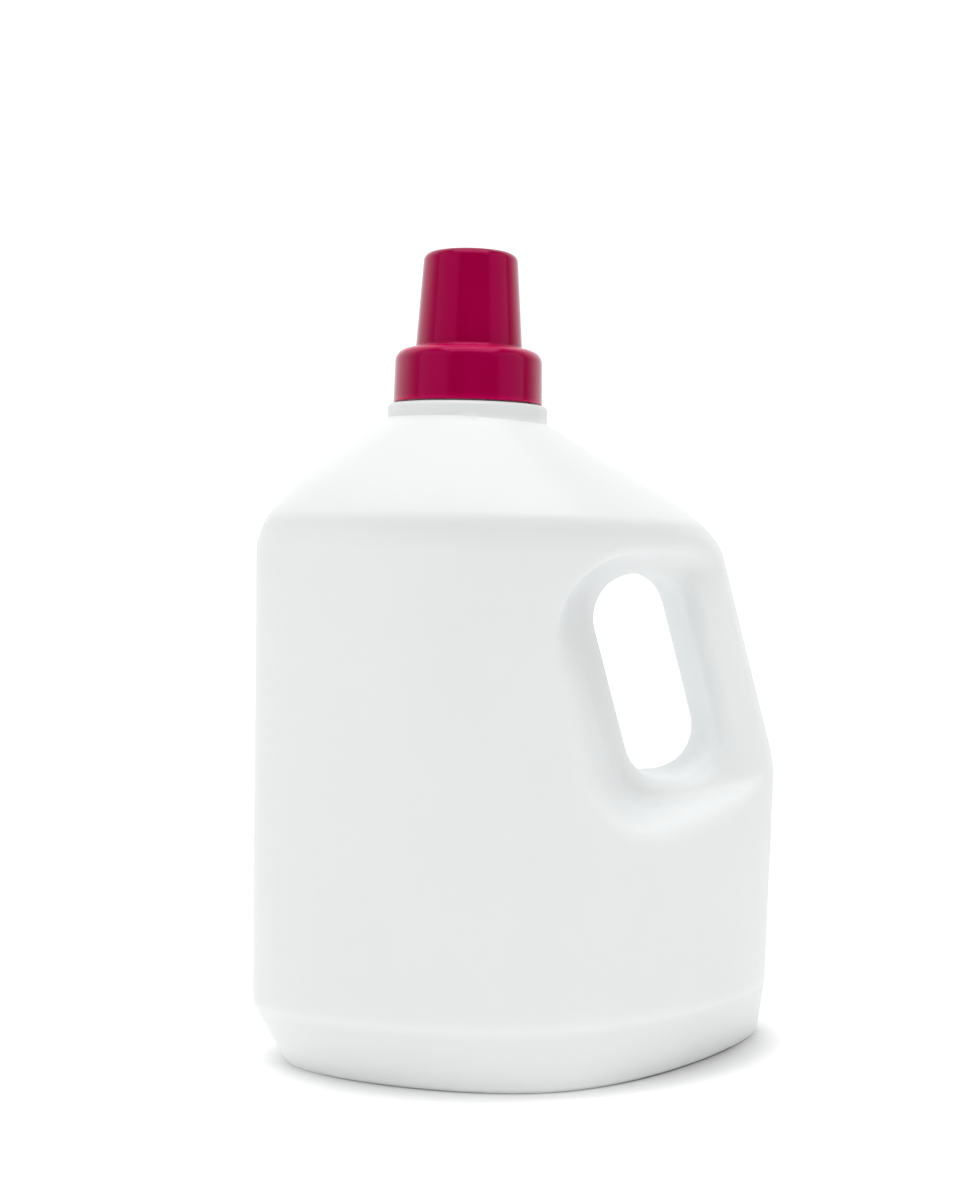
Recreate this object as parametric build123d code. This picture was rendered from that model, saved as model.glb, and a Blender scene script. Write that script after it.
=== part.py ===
from build123d import *
import math
import os

# Detergent jug with a pinched through-handle and a screw-on dosing cap, in millimetres.
# +X runs toward the handle, -Y is the front, +Z is up, and the base rests on z = 0.

# Body: plan and heights
half_width = 101.9
half_depth = 53.5
wall = 1.2
base_left_tuck = 14.4
base_right_tuck = 2.4
base_depth_tuck = 1.4
base_bevel_height = 22.5
base_edge_radius = 2.0
base_ring_width = 12.0
base_push_up = 3.0
left_draft = 1.5
right_draft = 1.0
depth_draft = 1.0
panel_recess = 1.7
panel_step = 4.0
crease_height = 200.2
right_crease_drop = 2.8
shoulder_rise = 35.3
shoulder_shift = 1.6
left_shoulder_ease = 15.0
right_shoulder_ease = 11.0
edge_ease = 2.0
slope_wall_share = 1.7

# Fullness of the plan's curves: 0 is pointed, 1 is square
side_fullness = 0.43
left_end_fullness = 0.32
right_end_fullness = 0.415
right_base_fullness = 0.17
grip_side_fullness = 0.48
grip_end_fullness = 0.31
round_fullness = 0.5523

# Collar and neck
neck_x = -24.8
collar_radius = 29.4
collar_overhang = 0.4
collar_sink = 2.5
collar_wall = 3.2
collar_height = 5.4
collar_edge_radius = 1.6
neck_radius = 23.6
neck_wall = 2.0
neck_height = 16.1

# Screw thread, two starts
thread_lead = 8.0
thread_starts = 2
thread_depth = 1.3
thread_root = 1.7
thread_crest = 0.9
thread_start = 2.7
neck_thread_turns = 1.2
cap_thread_turns = 0.7

# Through-handle
handle_length = 92.6
handle_corner_ease = 6.0
handle_lean = 16.7
grip_half_depth = 17.0
grip_width = 24.7
hole_width = 37.0
hole_length = 77.4
hole_top_gap = 19.8
hole_corner_radius = 16.5
hole_edge_radius = 7.0
recess_reach = 33.5
recess_drop = 21.6
recess_rise = 8.0
recess_lift = 22.0
recess_corner_radius = 34.0
recess_floor_margin = 9.2
recess_floor_rise = 6.6
recess_floor_lift = 12.0
recess_floor_corner_radius = 15.0
recess_floor_radius = 8.0
recess_edge_radius = 6.0

# Pouring insert
spout_wall = 1.3
spout_flange = 1.2
spout_flange_inset = 0.4
trough_depth = 17.0
spout_radius = 11.0
spout_rise = 10.0
spout_rear_drop = 8.0
drain_slot = 5.0

# Sealing ring
seal_gap = 0.2
seal_inset = 1.4
seal_thickness = 1.2
seal_width = 3.6

# Dosing cap
cap_wall = 1.5
skirt_gap = 0.6
skirt_radius = 27.35
skirt_draft = 0.45
skirt_shoulder_radius = 4.7
cup_foot_radius = 19.6
cup_top_radius = 17.1
cup_height = 35.1
cup_foot_fillet = 1.5
cup_edge_radius = 3.0
thread_clearance = 0.65

# Places that several features share
base_left = half_width - base_left_tuck
base_right = half_width - base_right_tuck
base_half_depth = half_depth - base_depth_tuck
shoulder_top = crease_height + shoulder_rise
collar_top = shoulder_top + collar_height
neck_top = collar_top + neck_height
handle_corner_height = crease_height - handle_length
handle_slope = math.tan(math.radians(handle_lean))
hole_top = crease_height - hole_top_gap
hole_bottom = hole_top - hole_length
hole_height = (hole_top + hole_bottom) / 2
hole_half_span = hole_width / 2 / math.cos(math.radians(handle_lean))
hole_x = half_width - (hole_height - handle_corner_height) * handle_slope - grip_width - hole_half_span


def eased(corners):
    """Value and slope against height, straight between (height, value, ease) corners, each corner eased."""
    slopes = []
    for (low, start, _), (high, end, _) in zip(corners, corners[1:]):
        slopes.append((end - start) / (high - low))

    def at(height):
        first_height, first_value, _ = corners[0]
        value = first_value + slopes[0] * (height - first_height)
        slope = slopes[0]
        for (corner, _, ease), before, after in zip(corners[1:], slopes, slopes[1:]):
            past = height - corner
            if past >= ease:
                value += (after - before) * past
                slope += after - before
            elif past > -ease:
                value += (after - before) * (past + ease) ** 2 / (4 * ease)
                slope += (after - before) * (past + ease) / (2 * ease)
        return value, slope

    return at


def side_tracks(levels):
    """Tracks of one side's outline: its tip, its side control point and its end control point, from levels
    of (height, centre, depth, tip, side fullness, end fullness, ease)."""
    tip = eased([(z, tip, ease) for z, _, _, tip, _, _, ease in levels])
    side = eased([(z, centre + (tip - centre) * full, ease) for z, centre, _, tip, full, _, ease in levels])
    end = eased([(z, depth * full, ease) for z, _, depth, _, _, full, ease in levels])
    return tip, side, end


def jug_form(inset):
    """The jug below its collar as one closed form; the hollow is the same form drawn smaller by inset."""
    slope_inset = slope_wall_share * inset
    bottom = inset
    right_crease = crease_height - right_crease_drop
    crease_tip = half_width - (right_crease - handle_corner_height) * handle_slope - inset
    body_tip = half_width - inset
    left_band = half_width - left_draft - inset
    right_band = half_width - right_draft - inset
    band_depth = half_depth - depth_draft - inset
    crease_depth = half_depth - inset
    base_depth = base_half_depth - inset
    top_x = neck_x - shoulder_shift
    top_radius = collar_radius - collar_overhang - slope_inset
    panel_low = base_bevel_height + panel_step
    panel_high = crease_height - panel_step

    left = side_tracks([
        (bottom, 0, base_depth, inset - base_left, side_fullness, left_end_fullness, edge_ease),
        (base_bevel_height, 0, band_depth, -left_band, side_fullness, left_end_fullness, edge_ease),
        (crease_height, 0, crease_depth, -body_tip, side_fullness, left_end_fullness, left_shoulder_ease),
        (shoulder_top, top_x, top_radius, top_x - top_radius, round_fullness, round_fullness, 0)])
    right = side_tracks([
        (bottom, 0, base_depth, base_right - inset, side_fullness, right_base_fullness, edge_ease),
        (base_bevel_height, 0, band_depth, right_band, side_fullness, right_end_fullness, edge_ease),
        (handle_corner_height, 0, crease_depth, body_tip, side_fullness, right_end_fullness,
         handle_corner_ease),
        (right_crease, 0, crease_depth, crease_tip, grip_side_fullness, grip_end_fullness,
         right_shoulder_ease),
        (shoulder_top, top_x, top_radius, top_x + top_radius, round_fullness, round_fullness, 0)])
    centre = eased([(bottom, 0, 0), (crease_height, 0, edge_ease), (shoulder_top, top_x, 0)])
    depth = eased([(bottom, base_depth, 0), (base_bevel_height, band_depth, edge_ease),
                   (panel_low, band_depth - panel_recess, edge_ease),
                   (panel_high, crease_depth - panel_recess, edge_ease),
                   (crease_height, crease_depth, edge_ease), (shoulder_top, top_radius, 0)])

    breaks = {bottom, shoulder_top}
    for height, ease in ((base_bevel_height, edge_ease), (panel_low, edge_ease), (panel_high, edge_ease),
                         (handle_corner_height, handle_corner_ease), (crease_height, edge_ease),
                         (crease_height, left_shoulder_ease), (right_crease, right_shoulder_ease)):
        breaks.update((round(height - ease, 6), round(height + ease, 6)))
    breaks = sorted(breaks)

    def on_parting_plane(height):
        return 0.0, 0.0

    def control_points(x_track, y_track, face, low, high):
        """Three points of one control column, exact for tracks that are quadratic between low and high."""
        half = (high - low) / 2
        x, x_slope = x_track(low)
        y, y_slope = y_track(low)
        return [Vector(x, face * y, low),
                Vector(x + x_slope * half, face * (y + y_slope * half), low + half),
                Vector(x_track(high)[0], face * y_track(high)[0], high)]

    faces = []
    rims = {bottom: [], shoulder_top: []}
    for low, high in zip(breaks, breaks[1:]):
        for tip, side, end in (left, right):
            for face in (-1, 1):
                columns = ((centre, depth), (side, depth), (tip, end), (tip, on_parting_plane))
                net = [control_points(x_track, y_track, face, low, high) for x_track, y_track in columns]
                faces.append(Face.make_bezier_surface(net))
                if low == bottom:
                    rims[bottom].append(Bezier(*[column[0] for column in net]))
                if high == shoulder_top:
                    rims[shoulder_top].append(Bezier(*[column[2] for column in net]))
    ends = [Face(Wire(rim)) for rim in rims.values()]
    return Solid(Shell(faces + ends))


def base_outline(margin, height):
    """The base's plan drawn smaller by margin, as a face at one height."""
    edges = []
    depth = base_half_depth - margin
    sides = ((margin - base_left, left_end_fullness), (base_right - margin, right_base_fullness))
    for tip, end_fullness in sides:
        for face in (-1, 1):
            edges.append(Bezier((0, face * depth), (tip * side_fullness, face * depth),
                                (tip, face * depth * end_fullness), (tip, 0)))
    return Pos(0, 0, height) * Face(Wire(edges))


def base_hollow(inset):
    """Raised middle of the base, inside the ring that the jug stands on; inset thickens it for the hollow."""
    low = base_outline(base_ring_width - inset, 0)
    high = base_outline(base_ring_width + base_push_up - inset, base_push_up + inset)
    return loft([low, high], ruled=True)


def leaning_outline(left, right, bottom, top, radius, lift=0):
    """Rounded parallelogram in the elevation plane, leaning with the handle, its lower edge rising by lift."""
    corners = []
    for x, z in ((left, bottom), (right, bottom + lift), (right, top), (left, top)):
        corners.append((x - (z - hole_height) * handle_slope, z))
    shape = Polygon(*corners, align=None)
    return fillet(shape.vertices(), radius)


def finger_recess(inset):
    """Front pinch around the finger hole, open past the grip, with sloping walls and a rounded floor edge."""
    hole_left = hole_x - hole_half_span
    clear_right = half_width + hole_width / 2
    outer = leaning_outline(hole_left - recess_reach - inset, clear_right, hole_bottom - recess_drop - inset,
                            hole_top + recess_rise + inset, recess_corner_radius, recess_lift)
    floor = leaning_outline(hole_left - recess_floor_margin - inset, clear_right,
                            hole_bottom - recess_floor_margin - inset, hole_top + recess_floor_rise + inset,
                            recess_floor_corner_radius, recess_floor_lift)
    floor_plane = Plane.XZ.offset(grip_half_depth - inset)
    front_plane = Plane.XZ.offset(half_depth)
    recess = loft([floor_plane * floor, front_plane * outer], ruled=True)
    floor_edges = recess.faces().sort_by(Axis.Y)[-1].edges()
    return fillet(floor_edges, recess_floor_radius + inset)


def finger_hole(inset):
    """Leaning hole with round corners, right through both recess floors."""
    outline = leaning_outline(hole_x - hole_half_span - inset, hole_x + hole_half_span + inset,
                              hole_bottom - inset, hole_top + inset, hole_corner_radius + inset)
    return extrude(Plane.XZ * outline, half_depth, both=True)


def handled_form(inset):
    """The jug's form with the pinched handle let in and its edges rounded."""
    form = jug_form(inset)
    recess = finger_recess(inset)
    hole = finger_hole(inset)
    body = Part() + form - recess - mirror(recess, Plane.XZ) - hole
    skin = form.shells()[0]
    near = 0.01

    def lies_on(edge, faces):
        middle = edge @ 0.5
        return min(face.distance_to(middle) for face in faces) < near

    def outside_floor(edge):
        return abs((edge @ 0.5).Y) > grip_half_depth - inset - near

    walls = recess.faces() + mirror(recess, Plane.XZ).faces()
    rim = [edge for edge in body.edges() if outside_floor(edge) and lies_on(edge, hole.faces())]

    def on_border(edge):
        return outside_floor(edge) and lies_on(edge, [skin]) and lies_on(edge, walls)

    body = fillet(rim, hole_edge_radius - inset)
    border = [edge for edge in body.edges() if on_border(edge)]
    return fillet(border, recess_edge_radius - inset)


def screw_thread(radius, outward, turns, start_angle):
    """Trapezoid ridges standing out of (or into) a cylinder, one for each start."""
    height = thread_lead * turns
    path = Helix(thread_lead, height, radius)
    sink = 0.4
    foot = radius - outward * sink
    crest = radius + outward * thread_depth
    corners = [(foot, -thread_root / 2), (crest, -thread_crest / 2),
               (crest, thread_crest / 2), (foot, thread_root / 2)]
    profile = Plane.XZ * Polygon(*corners, align=None)
    ridge = sweep(profile, path, is_frenet=True)
    ridges = Part()
    for start in range(thread_starts):
        turned = Rot(0, 0, start_angle + 360 / thread_starts * start) * ridge
        ridges += Pos(neck_x, 0, collar_top + thread_start) * turned
    return ridges


def turned_ring(points):
    """Solid of revolution about the neck's axis from (radius, height) points."""
    profile = Plane.XZ * Polygon(*points, align=None)
    return Pos(neck_x, 0, 0) * revolve(profile, Axis.Z)


def cylinder(radius, low, high):
    """Upright cylinder on the neck's axis."""
    return Pos(neck_x, 0, (low + high) / 2) * Cylinder(radius, high - low)


def jug_body():
    """Blow-moulded bottle: hollow body and handle, collar and threaded neck in one piece."""
    collar = cylinder(collar_radius, shoulder_top - collar_sink, collar_top)
    collar = fillet(collar.edges().sort_by(Axis.Z)[-1], collar_edge_radius)
    outside = handled_form(0) - base_hollow(0)
    base_ring = outside.faces().sort_by(Axis.Z)[0]
    outside = fillet(base_ring.outer_wire().edges(), base_edge_radius)
    outside += collar + cylinder(neck_radius, shoulder_top, neck_top)
    outside += screw_thread(neck_radius, 1, neck_thread_turns, 0)
    hollow = handled_form(wall) - base_hollow(wall)
    hollow += cylinder(collar_radius - collar_wall, shoulder_top - wall, collar_top - 2 * wall)
    hollow += cylinder(neck_radius - neck_wall, shoulder_top, neck_top + wall)
    return outside - hollow


def pour_spout():
    """Pouring insert: flange on the neck's rim, drain-back trough, and a slotted spout with a sloping lip."""
    bore_radius = neck_radius - neck_wall
    trough_radius = bore_radius - spout_wall
    flange_top = neck_top + spout_flange
    floor = neck_top - trough_depth
    tip = flange_top + spout_rise
    insert = cylinder(neck_radius - spout_flange_inset, neck_top, flange_top)
    insert += cylinder(bore_radius, floor - spout_wall, neck_top)
    insert -= cylinder(trough_radius, floor, flange_top)
    insert += cylinder(spout_radius, floor - spout_wall, tip)
    insert -= cylinder(spout_radius - spout_wall, floor - 2 * spout_wall, tip)
    slot_length = (spout_radius + trough_radius) / 2
    slot = Box(slot_length, drain_slot, tip - floor, align=(Align.MIN, Align.CENTER, Align.MIN))
    insert -= Pos(neck_x, 0, floor) * slot
    lip_slope = math.degrees(math.atan2(spout_rear_drop, 2 * spout_radius))
    lip_width = 2 * spout_radius + spout_wall
    lip = Box(lip_width, lip_width, spout_rise, align=(Align.CENTER, Align.CENTER, Align.MIN))
    insert -= Pos(neck_x, 0, tip - spout_rear_drop / 2) * Rot(0, lip_slope, 0) * lip
    return insert


def cap_seal():
    """Flat ring between the cap's shoulder and the spout's flange."""
    low = neck_top + spout_flange + seal_gap
    high = low + seal_thickness
    outer = neck_radius - seal_inset
    return cylinder(outer, low, high) - cylinder(outer - seal_width, low, high)


def ring_edges(part, height):
    """Edges of a turned part that lie flat at one height."""
    found = []
    for edge in part.edges():
        box = edge.bounding_box()
        if abs(box.min.Z - height) < 0.01 and abs(box.max.Z - height) < 0.01:
            found.append(edge)
    return ShapeList(found).sort_by(SortBy.LENGTH)


def dosing_cap():
    """Two-tier dosing cup: threaded skirt, rounded shoulder and tapering cup, closed at the top."""
    rim = collar_top + skirt_gap
    seat = neck_top + spout_flange + seal_gap + seal_thickness
    shoulder = seat + cap_wall
    top = shoulder + cup_height
    skirt_inside = neck_radius + thread_depth + thread_clearance
    outside = turned_ring([(0, rim), (skirt_radius, rim), (skirt_radius - skirt_draft, shoulder),
                           (cup_foot_radius, shoulder), (cup_top_radius, top), (0, top)])
    outside = fillet(ring_edges(outside, top)[-1], cup_edge_radius)
    outside = fillet(ring_edges(outside, shoulder)[-1], skirt_shoulder_radius)
    outside = fillet(ring_edges(outside, shoulder)[0], cup_foot_fillet)
    inside = turned_ring([(0, rim - cap_wall), (skirt_inside, rim - cap_wall), (skirt_inside, seat),
                          (cup_foot_radius - cap_wall, seat), (cup_top_radius - cap_wall, top - cap_wall),
                          (0, top - cap_wall)])
    inside = fillet(ring_edges(inside, seat)[-1], skirt_shoulder_radius - cap_wall)
    inside = fillet(ring_edges(inside, top - cap_wall)[-1], cup_edge_radius - cap_wall)
    half_pitch_turn = 180 / thread_starts
    return outside - inside + screw_thread(skirt_inside, -1, cap_thread_turns, half_pitch_turn)


os.makedirs("parts", exist_ok=True)
export_step(jug_body(), "parts/jug_body.step")
export_step(pour_spout(), "parts/pour_spout.step")
export_step(cap_seal(), "parts/cap_seal.step")
export_step(dosing_cap(), "parts/dosing_cap.step")
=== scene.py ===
import math

import bpy
from mathutils import Matrix, Vector

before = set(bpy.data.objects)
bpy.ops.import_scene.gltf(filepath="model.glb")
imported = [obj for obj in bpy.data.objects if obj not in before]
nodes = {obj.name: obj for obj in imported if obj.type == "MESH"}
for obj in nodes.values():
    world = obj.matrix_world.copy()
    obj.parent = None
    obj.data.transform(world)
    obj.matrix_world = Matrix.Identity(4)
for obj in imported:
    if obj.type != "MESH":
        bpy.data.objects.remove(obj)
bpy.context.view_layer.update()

# Detergent jug with a screw-on dosing cap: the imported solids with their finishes, in metres.

# Camera, solved from the photograph's 960 x 1200 frame
EYE = Vector((-0.1821, -0.5708, 0.1983))
YAW = math.radians(16.0)
PITCH = math.radians(2.79)
ROLL = math.radians(1.3)
LENS = 48.0
SENSOR = 36.0
CLIP_START = 0.01
CLIP_END = 50

# Colours, each from the low to the high end of its cloudy pattern
WHITE_LOW = (0.866, 0.882, 0.882, 1)
WHITE_HIGH = (0.890, 0.907, 0.907, 1)
MAGENTA_LOW = (0.300, 0.0002, 0.043, 1)
MAGENTA_HIGH = (0.330, 0.0006, 0.051, 1)
MAGENTA_SHEEN = (1.0, 0.08, 0.40, 1)
NATURAL_LOW = (0.76, 0.77, 0.75, 1)
NATURAL_HIGH = (0.82, 0.83, 0.81, 1)
FOAM_LOW = (0.62, 0.62, 0.62, 1)
FOAM_HIGH = (0.74, 0.74, 0.74, 1)
PURE_WHITE = (1, 1, 1, 1)
CLOUD_START = 0.3
CLOUD_END = 0.7

# Roughness, from the low to the high end of its pattern
WHITE_ROUGHNESS = (0.38, 0.52)
MAGENTA_ROUGHNESS = (0.10, 0.18)
NATURAL_ROUGHNESS = (0.28, 0.42)
FOAM_ROUGHNESS = (0.80, 0.95)

# Heights of the surface detail in metres
PARTING_WIDTH = 0.00035
PARTING_HEIGHT = 0.00012
SAG_HEIGHT = 0.00020
WHITE_GRAIN_HEIGHT = 0.000012
SOFT_EDGE_RADIUS = 0.0012
FLOW_HEIGHT = 0.00003
HAZE_HEIGHT = 0.000006
NATURAL_HAZE_HEIGHT = 0.00001
FOAM_CELL_HEIGHT = 0.00008

# Bands of painted light and shade by height in metres. On the jug: painted light on the foot and lower body
# with a painted highlight on the lip of the base band, then painted shade under the crease and at the collar
# under the cap.
# On the cap: painted highlights on the lower rim and on the ring at the cup's foot.
BAND_TOP = 0.30
JUG_PAINTED_LIGHT_BANDS = ((0.0195, 1.04), (0.0222, 1.095), (0.0250, 1.03), (0.080, 1.02),
             (0.150, 1.0), (0.188, 0.980), (0.1965, 0.915), (0.1985, 0.930), (0.2010, 1.0),
             (0.2340, 1.0), (0.2362, 0.85), (0.2420, 0.85))
# Painted highlights on the cap: the lower rim of the skirt and the ring at the cup's foot.
CAP_PAINTED_HIGHLIGHT_BANDS = ((0.2420, 1.7), (0.2429, 1.0),
             (0.2586, 1.0), (0.2598, 1.8), (0.2610, 1.8), (0.2620, 1.0))

# Smooth shading
WELD_DISTANCE = 0.000005
SHARP_ANGLE = math.radians(32)

# Floor: its glow against the distance from the footprint's middle, with the footprint drawn in to a circle;
# the glow fades beside the footprint into a painted contact shadow
FLOOR_HALF = 6.0
FLOOR_COLOUR = (0.55, 0.55, 0.55, 1)
FOOTPRINT_SCALE = (0.59, 1, 1)
FOOTPRINT_SHIFT = (-0.0035, 0, 0)
FLOOR_REACH = 2.0
FLOOR_GLOW_WITH_PAINTED_SHADOW = ((0.0505, 0.0), (0.0600, 0.54), (0.12, 0.54), (0.4, 0.45), (1.6, 0.90))

# Light, as radiance where the white surround counts about one
SURROUND = 1.15
FRONT_DARK = 0.01
FRONT_WAY = (-0.12, -0.99, 0.0)
FALL_START = -0.60
FALL_END = 0.10
LIGHT_TARGET = (-0.02, 0.0, 0.2)
SOFT_BOXES = {
    "overhead_box": {"place": (-0.20, -0.90, 2.90), "width": 3.0, "height": 2.4, "radiance": 3.1},
    "left_box": {"place": (-2.47, -0.80, 1.20), "width": 2.6, "height": 2.3, "radiance": 1.0},
    "right_box": {"place": (2.20, -1.54, 1.30), "width": 2.6, "height": 2.4, "radiance": 0.95},
}


class Finish:
    """A node material with one principled shader, and short helpers for its pattern nodes."""

    def __init__(self, name):
        self.material = bpy.data.materials.new(name)
        self.material.use_nodes = True
        self.tree = self.material.node_tree
        self.shader = self.tree.nodes["Principled BSDF"]
        self.place = self.add("ShaderNodeTexCoord").outputs["Object"]

    def add(self, kind, **settings):
        node = self.tree.nodes.new(kind)
        for key, value in settings.items():
            setattr(node, key, value)
        return node

    def link(self, start, end):
        self.tree.links.new(start, end)

    def feed(self, output, socket):
        """Links a pattern to one of the shader's sockets."""
        self.link(output, self.shader.inputs[socket])

    def set(self, **values):
        """Sets constants on the shader's own sockets."""
        for key, value in values.items():
            self.shader.inputs[key.replace("_", " ")].default_value = value

    def noise(self, scale, detail=2.0, stretch=(1, 1, 1)):
        """Noise between 0 and 1 at a scale in cells per metre, stretched along an axis where asked."""
        mapping = self.add("ShaderNodeMapping")
        mapping.inputs["Scale"].default_value = stretch
        self.link(self.place, mapping.inputs["Vector"])
        noise = self.add("ShaderNodeTexNoise")
        noise.inputs["Scale"].default_value = scale
        noise.inputs["Detail"].default_value = detail
        self.link(mapping.outputs["Vector"], noise.inputs["Vector"])
        return noise.outputs["Fac"]

    def ramp(self, value, stops):
        """Colour or grey ramp from (position, colour) stops, all of them strictly between 0 and 1."""
        ramp = self.add("ShaderNodeValToRGB")
        elements = ramp.color_ramp.elements
        for position, colour in stops:
            elements.new(position).color = colour
        elements.remove(elements[0])
        elements.remove(elements[len(elements) - 1])
        self.link(value, ramp.inputs["Fac"])
        return ramp.outputs["Color"]

    def clouds(self, value, low, high):
        """Colour that drifts from low to high with a noise pattern."""
        return self.ramp(value, [(CLOUD_START, low), (CLOUD_END, high)])

    def between(self, value, limits):
        """Number from the low to the high limit as value goes from 0 to 1."""
        low, high = limits
        node = self.add("ShaderNodeMapRange")
        node.inputs["To Min"].default_value = low
        node.inputs["To Max"].default_value = high
        self.link(value, node.inputs["Value"])
        return node.outputs["Result"]

    def greys_along(self, value, reach, stops):
        """Grey against a length in metres, straight between (length, grey) stops short of the reach."""
        share = self.add("ShaderNodeMapRange")
        share.inputs["From Max"].default_value = reach
        self.link(value, share.inputs["Value"])
        greys = [(length / reach, (grey, grey, grey, 1)) for length, grey in stops]
        return self.ramp(share.outputs["Result"], greys)

    def along(self, axis):
        """Place along one axis of the piece, in metres."""
        parts = self.add("ShaderNodeSeparateXYZ")
        self.link(self.place, parts.inputs["Vector"])
        return parts.outputs[axis]

    def with_painted_light_bands(self, colour, bands):
        """Colour multiplied by bands of painted light and shade that follow the height."""
        product = self.add("ShaderNodeMix", data_type="RGBA", blend_type="MULTIPLY")
        product.inputs["Factor"].default_value = 1.0
        self.link(colour, product.inputs["A"])
        self.link(self.greys_along(self.along("Z"), BAND_TOP, bands), product.inputs["B"])
        return product.outputs["Result"]

    def bump(self, height, depth, below=None):
        """Bump of a real depth in metres, laid over another normal where one is given."""
        node = self.add("ShaderNodeBump")
        node.inputs["Strength"].default_value = 1.0
        node.inputs["Distance"].default_value = depth
        self.link(height, node.inputs["Height"])
        if below is not None:
            self.link(below, node.inputs["Normal"])
        return node.outputs["Normal"]


def parting_ridge(finish):
    """Height of the mould's parting line, which runs round the jug in the plane y = 0."""
    distance = finish.add("ShaderNodeMath", operation="ABSOLUTE")
    finish.link(finish.along("Y"), distance.inputs[0])
    ridge = finish.add("ShaderNodeMapRange", interpolation_type="SMOOTHSTEP")
    ridge.inputs["From Max"].default_value = PARTING_WIDTH
    ridge.inputs["To Min"].default_value = 1.0
    ridge.inputs["To Max"].default_value = 0.0
    finish.link(distance.outputs["Value"], ridge.inputs["Value"])
    return ridge.outputs["Result"]


def white_hdpe():
    """Satin blown polyethylene: cloudy white, a fine blasted-mould grain, faint sag and the parting line,
    with bands of painted light and shade by height.
    """
    finish = Finish("white_hdpe")
    cloud = finish.noise(scale=14, detail=3, stretch=(1, 1, 0.5))
    grain = finish.noise(scale=2600, detail=2)
    sag = finish.noise(scale=22, detail=1, stretch=(1, 1, 0.35))
    white = finish.clouds(cloud, WHITE_LOW, WHITE_HIGH)
    ridge = finish.bump(parting_ridge(finish), PARTING_HEIGHT)
    waves = finish.bump(sag, SAG_HEIGHT, below=ridge)
    fine = finish.bump(grain, WHITE_GRAIN_HEIGHT, below=waves)
    # Base colour with painted light on the foot and the base band's lip, and painted shade under the crease
    # and at the collar.
    finish.feed(finish.with_painted_light_bands(white, JUG_PAINTED_LIGHT_BANDS), "Base Color")
    finish.feed(finish.between(grain, WHITE_ROUGHNESS), "Roughness")
    finish.feed(fine, "Normal")
    finish.set(IOR=1.5)
    finish.set(Subsurface_Weight=0.15, Subsurface_Radius=(0.006, 0.006, 0.006), Subsurface_Scale=0.5)
    return finish.material


def magenta_pp():
    """Glossy moulded polypropylene, deep magenta with faint flow clouds and a polished skin, and painted
    highlights on the lower rim and at the cup's foot.
    """
    finish = Finish("magenta_pp")
    flow = finish.noise(scale=60, detail=3, stretch=(1, 1, 0.25))
    haze = finish.noise(scale=420, detail=3)
    magenta = finish.clouds(flow, MAGENTA_LOW, MAGENTA_HIGH)
    soft_edge = finish.add("ShaderNodeBevel", samples=6)
    soft_edge.inputs["Radius"].default_value = SOFT_EDGE_RADIUS
    waves = finish.bump(flow, FLOW_HEIGHT, below=soft_edge.outputs["Normal"])
    fine = finish.bump(haze, HAZE_HEIGHT, below=waves)
    # Base colour with painted highlights on the lower rim and on the ring at the cup's foot.
    finish.feed(finish.with_painted_light_bands(magenta, CAP_PAINTED_HIGHLIGHT_BANDS), "Base Color")
    finish.feed(finish.between(haze, MAGENTA_ROUGHNESS), "Roughness")
    finish.feed(fine, "Normal")
    finish.set(IOR=1.45, Specular_Tint=MAGENTA_SHEEN)
    return finish.material


def natural_pp():
    """Unpigmented polypropylene of the pouring insert, milky and softly see-through."""
    finish = Finish("natural_pp")
    cloud = finish.noise(scale=90, detail=3)
    haze = finish.noise(scale=900, detail=2)
    finish.feed(finish.clouds(cloud, NATURAL_LOW, NATURAL_HIGH), "Base Color")
    finish.feed(finish.between(haze, NATURAL_ROUGHNESS), "Roughness")
    finish.feed(finish.bump(haze, NATURAL_HAZE_HEIGHT), "Normal")
    finish.set(IOR=1.49)
    finish.set(Subsurface_Weight=0.35, Subsurface_Radius=(0.004, 0.004, 0.004), Subsurface_Scale=0.6)
    return finish.material


def seal_foam():
    """Closed-cell foam of the sealing ring, matt, with fine cells."""
    finish = Finish("seal_foam")
    cells = finish.add("ShaderNodeTexVoronoi")
    cells.inputs["Scale"].default_value = 2200
    finish.link(finish.place, cells.inputs["Vector"])
    distance = cells.outputs["Distance"]
    finish.feed(finish.ramp(distance, [(0.1, FOAM_LOW), (0.6, FOAM_HIGH)]), "Base Color")
    finish.feed(finish.between(distance, FOAM_ROUGHNESS), "Roughness")
    finish.feed(finish.bump(distance, FOAM_CELL_HEIGHT), "Normal")
    return finish.material


def floor_finish():
    """Plain pale floor with a glow that fades beside the footprint, a painted contact shadow that deepens the
    real one.
    """
    finish = Finish("studio_floor")
    finish.set(Base_Color=FLOOR_COLOUR, Roughness=0.9, Specular_IOR_Level=0.1, Emission_Color=PURE_WHITE)
    footprint = finish.add("ShaderNodeMapping")
    footprint.inputs["Scale"].default_value = FOOTPRINT_SCALE
    footprint.inputs["Location"].default_value = FOOTPRINT_SHIFT
    finish.link(finish.place, footprint.inputs["Vector"])
    away = finish.add("ShaderNodeVectorMath", operation="LENGTH")
    finish.link(footprint.outputs["Vector"], away.inputs[0])
    # The glow fades beside the footprint into a painted contact shadow, laid over the real shadow from the
    # lights.
    finish.feed(finish.greys_along(away.outputs["Value"], FLOOR_REACH, FLOOR_GLOW_WITH_PAINTED_SHADOW), "Emission Strength")
    return finish.material


def dress(node, material):
    """Gives a CAD node its material and smooth shading between faces that meet gently."""
    piece = nodes[node]
    piece.data.materials.clear()
    piece.data.materials.append(material)
    for polygon in piece.data.polygons:
        polygon.material_index = 0
        polygon.use_smooth = True
    weld = piece.modifiers.new("weld", "WELD")
    weld.merge_threshold = WELD_DISTANCE
    split = piece.modifiers.new("sharp_edges", "EDGE_SPLIT")
    split.split_angle = SHARP_ANGLE


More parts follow.
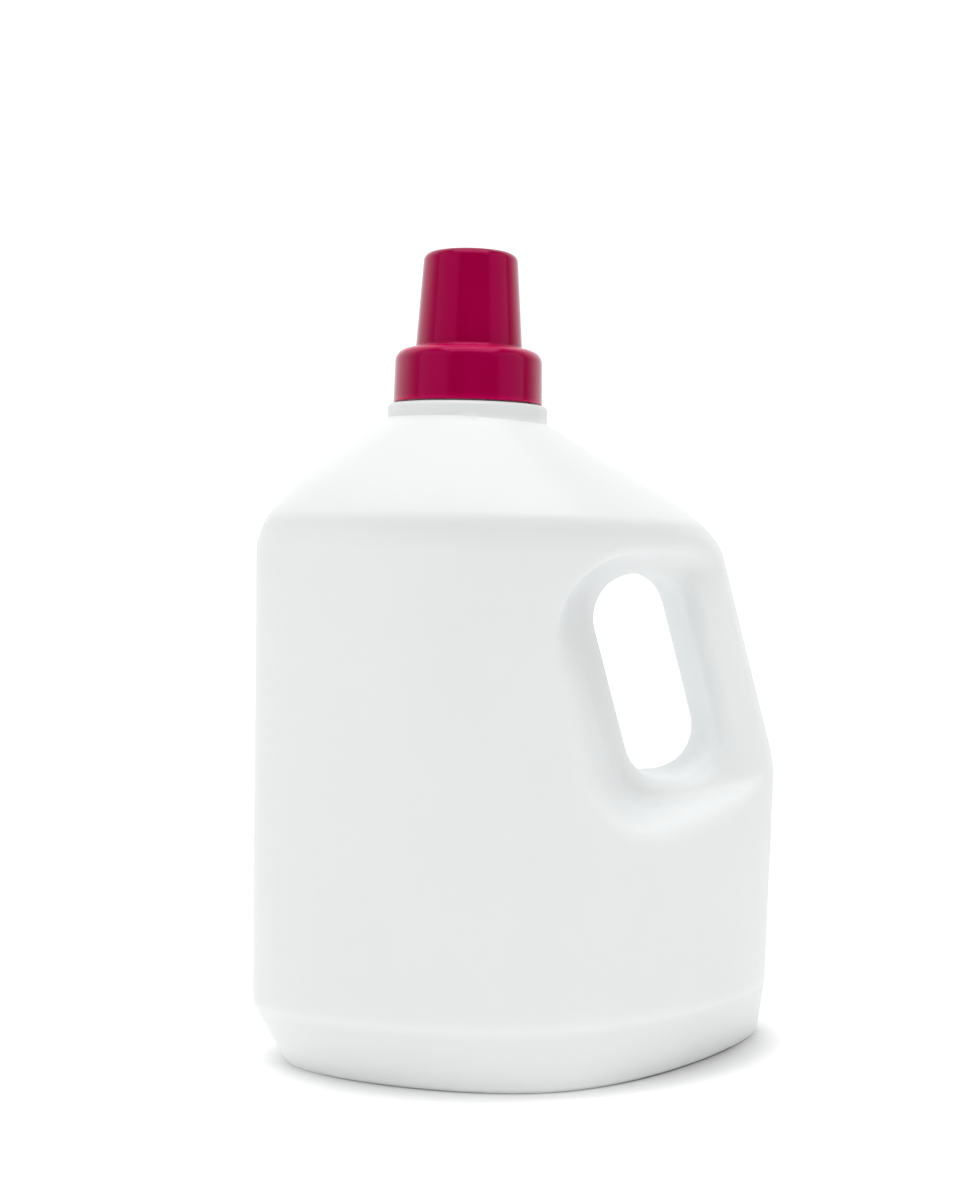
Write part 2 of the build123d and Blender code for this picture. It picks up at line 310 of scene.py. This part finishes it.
def build_stage():
    """Wide pale floor that runs out to the white surround."""
    mesh = bpy.data.meshes.new("studio_floor")
    signs = ((-1, -1), (1, -1), (1, 1), (-1, 1))
    corners = [(FLOOR_HALF * x, FLOOR_HALF * y, 0) for x, y in signs]
    mesh.from_pydata(corners, [], [(0, 1, 2, 3)])
    mesh.materials.append(floor_finish())
    floor = bpy.data.objects.new("studio_floor", mesh)
    bpy.context.scene.collection.objects.link(floor)


def softbox(name, place, width, height, radiance):
    """Rectangular area light of a given radiance that faces the jug."""
    light = bpy.data.lights.new(name, "AREA")
    light.shape = "RECTANGLE"
    light.size = width
    light.size_y = height
    light.energy = radiance * math.pi * width * height
    lamp = bpy.data.objects.new(name, light)
    lamp.location = place
    lamp.rotation_mode = "QUATERNION"
    lamp.rotation_quaternion = (Vector(LIGHT_TARGET) - Vector(place)).to_track_quat("-Z", "Y")
    bpy.context.scene.collection.objects.link(lamp)


def build_surround():
    """White backdrop whose light falls dark toward the front, so that the cap keeps a deep middle."""
    world = bpy.data.worlds.new("white_surround")
    world.use_nodes = True
    tree = world.node_tree
    direction = tree.nodes.new("ShaderNodeTexCoord")
    facing = tree.nodes.new("ShaderNodeVectorMath")
    facing.operation = "DOT_PRODUCT"
    facing.inputs[1].default_value = FRONT_WAY
    fall = tree.nodes.new("ShaderNodeMapRange")
    fall.interpolation_type = "SMOOTHSTEP"
    fall.inputs["From Min"].default_value = FALL_START
    fall.inputs["From Max"].default_value = FALL_END
    fall.inputs["To Min"].default_value = SURROUND
    fall.inputs["To Max"].default_value = FRONT_DARK
    tree.links.new(direction.outputs["Generated"], facing.inputs[0])
    tree.links.new(facing.outputs["Value"], fall.inputs["Value"])
    seen = tree.nodes.new("ShaderNodeLightPath")
    strength = tree.nodes.new("ShaderNodeMapRange")
    strength.inputs["To Max"].default_value = SURROUND
    tree.links.new(seen.outputs["Is Camera Ray"], strength.inputs["Value"])
    tree.links.new(fall.outputs["Result"], strength.inputs["To Min"])
    background = tree.nodes["Background"]
    background.inputs["Color"].default_value = PURE_WHITE
    tree.links.new(strength.outputs["Result"], background.inputs["Strength"])
    bpy.context.scene.world = world


def build_light():
    """Soft boxes overhead and at both sides, within the white surround."""
    build_surround()
    for name, box in SOFT_BOXES.items():
        softbox(name, **box)


def build_camera():
    """Camera at the photograph's place and angle."""
    forward = Vector((math.sin(YAW) * math.cos(PITCH), math.cos(YAW) * math.cos(PITCH), -math.sin(PITCH)))
    level_right = Vector((math.cos(YAW), -math.sin(YAW), 0))
    level_up = level_right.cross(forward)
    right = level_right * math.cos(ROLL) + level_up * math.sin(ROLL)
    up = level_up * math.cos(ROLL) - level_right * math.sin(ROLL)
    data = bpy.data.cameras.new("camera")
    data.lens = LENS
    data.sensor_width = SENSOR
    data.clip_start = CLIP_START
    data.clip_end = CLIP_END
    camera = bpy.data.objects.new("camera", data)
    turn = Matrix((right, up, -forward)).transposed()
    camera.matrix_world = Matrix.Translation(EYE) @ turn.to_4x4()
    bpy.context.scene.collection.objects.link(camera)
    bpy.context.scene.camera = camera


build_camera()
build_light()
build_stage()
dress("jug_body", white_hdpe())
dress("pour_spout", natural_pp())
dress("cap_seal", seal_foam())
dress("dosing_cap", magenta_pp())
bpy.context.scene.view_settings.view_transform = "Standard"
